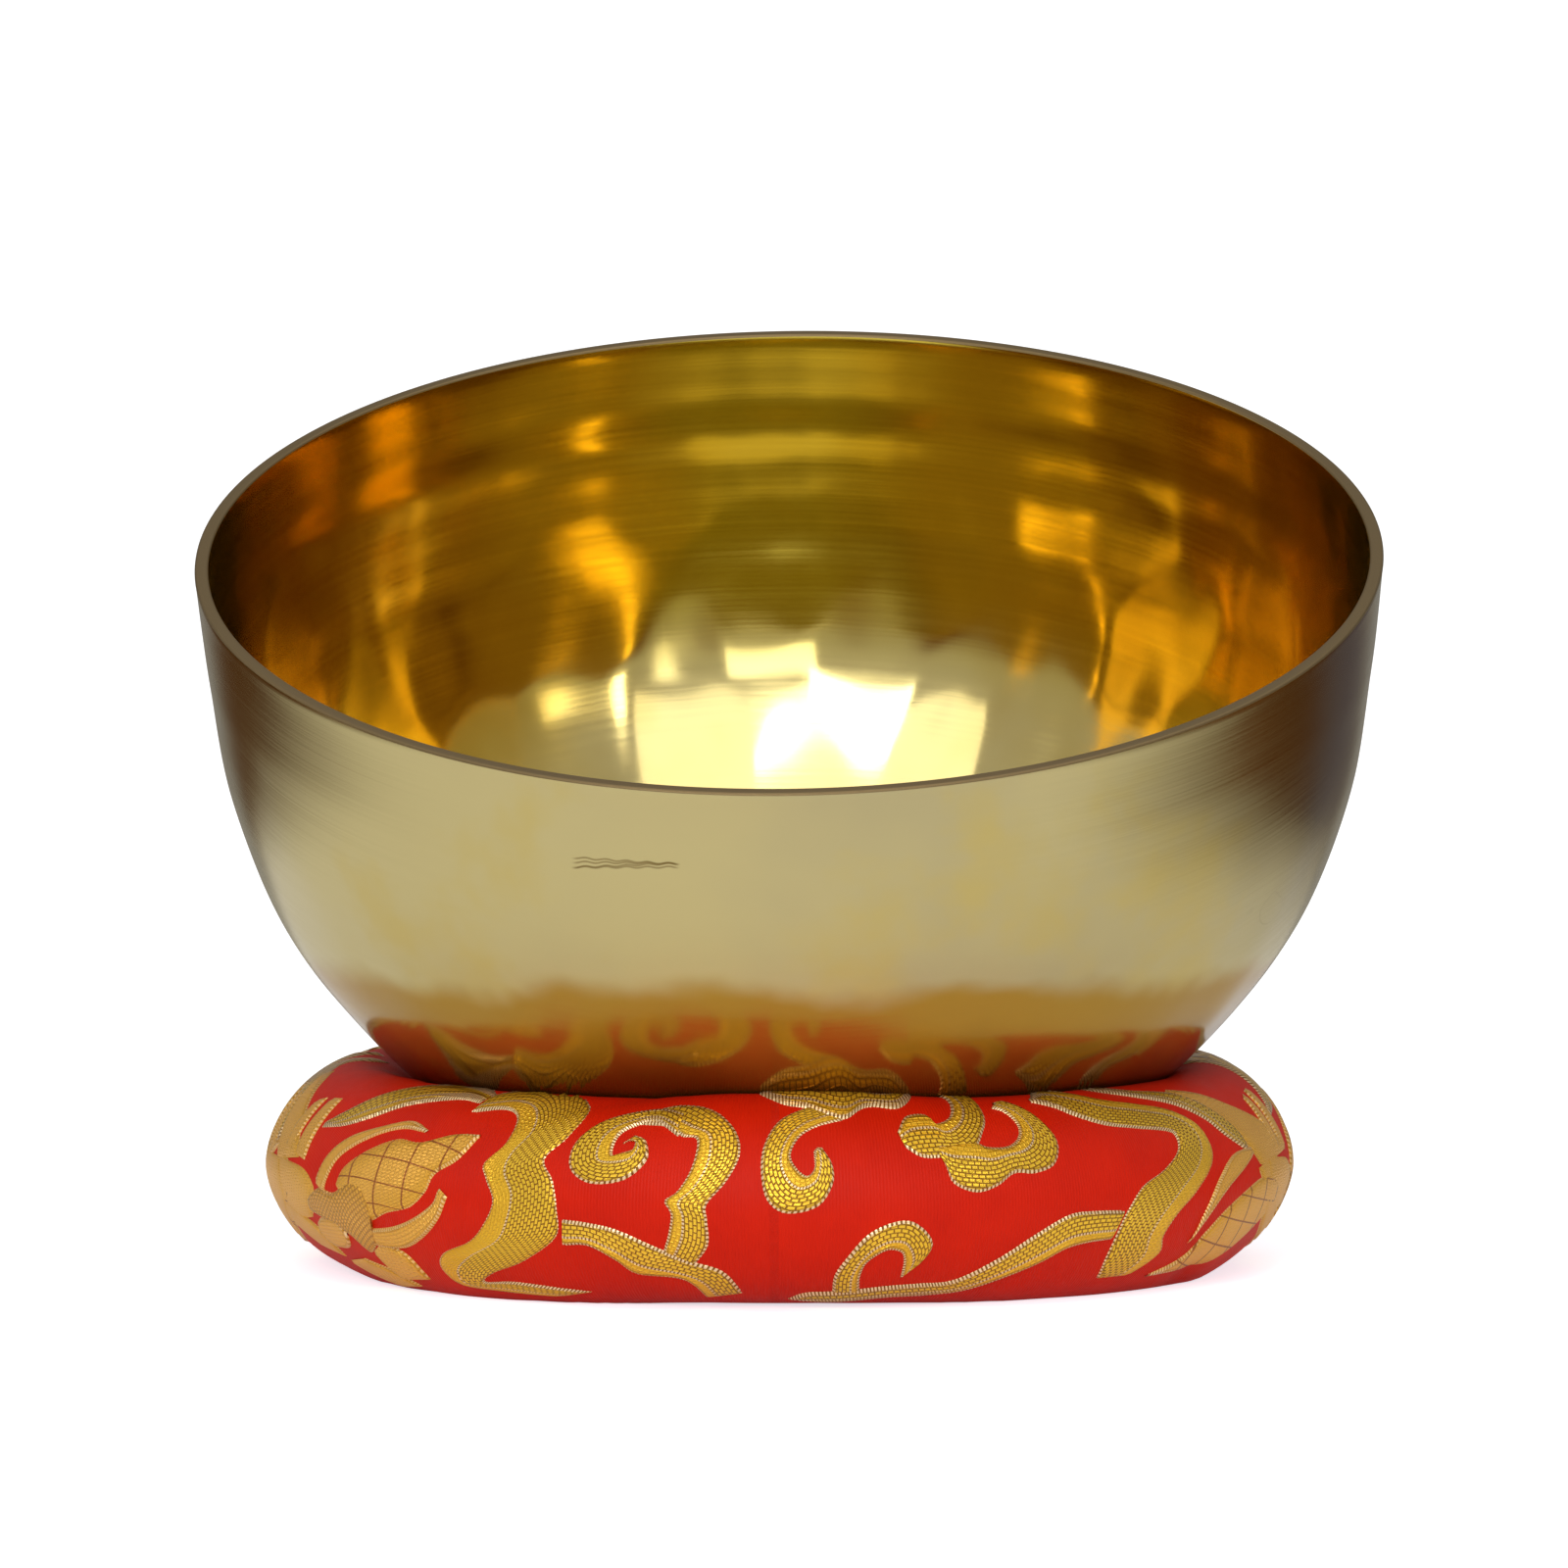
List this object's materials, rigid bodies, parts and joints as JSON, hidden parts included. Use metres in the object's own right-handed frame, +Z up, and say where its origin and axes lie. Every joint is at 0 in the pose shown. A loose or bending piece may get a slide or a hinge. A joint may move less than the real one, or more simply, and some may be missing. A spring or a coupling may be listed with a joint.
{
  "type": "singing bowl",
  "caption": "Hammered brass singing bowl resting tilted on a round ring cushion covered in red and gold brocade.",
  "frame": {"origin": "middle of the whole object's box, on the surface that the cushion stands on", "axes": "+Z up; the bowl's mouth leans towards -Y, the front; +X to the right seen from the front"},
  "size_m": [0.2, 0.1974, 0.1605],
  "materials": {
    "bowl_brass": "satin",
    "brocade": "woven satin",
    "wadding": "matte",
    "red_thread": "matte",
    "gold_thread": "satin"
  },
  "bodies": {
    "cushion": {"cushion_cover": "brocade", "cushion_filling": "wadding", "seam_thread": "red_thread", "join_thread": "gold_thread"},
    "bowl": {"bowl": "bowl_brass"}
  },
  "joints": [
    {"name": "bowl_lift", "type": "slide", "parent": "cushion", "child": "bowl", "axis": [0, 0, 1], "range_m": [0, 0.08]}
  ]
}
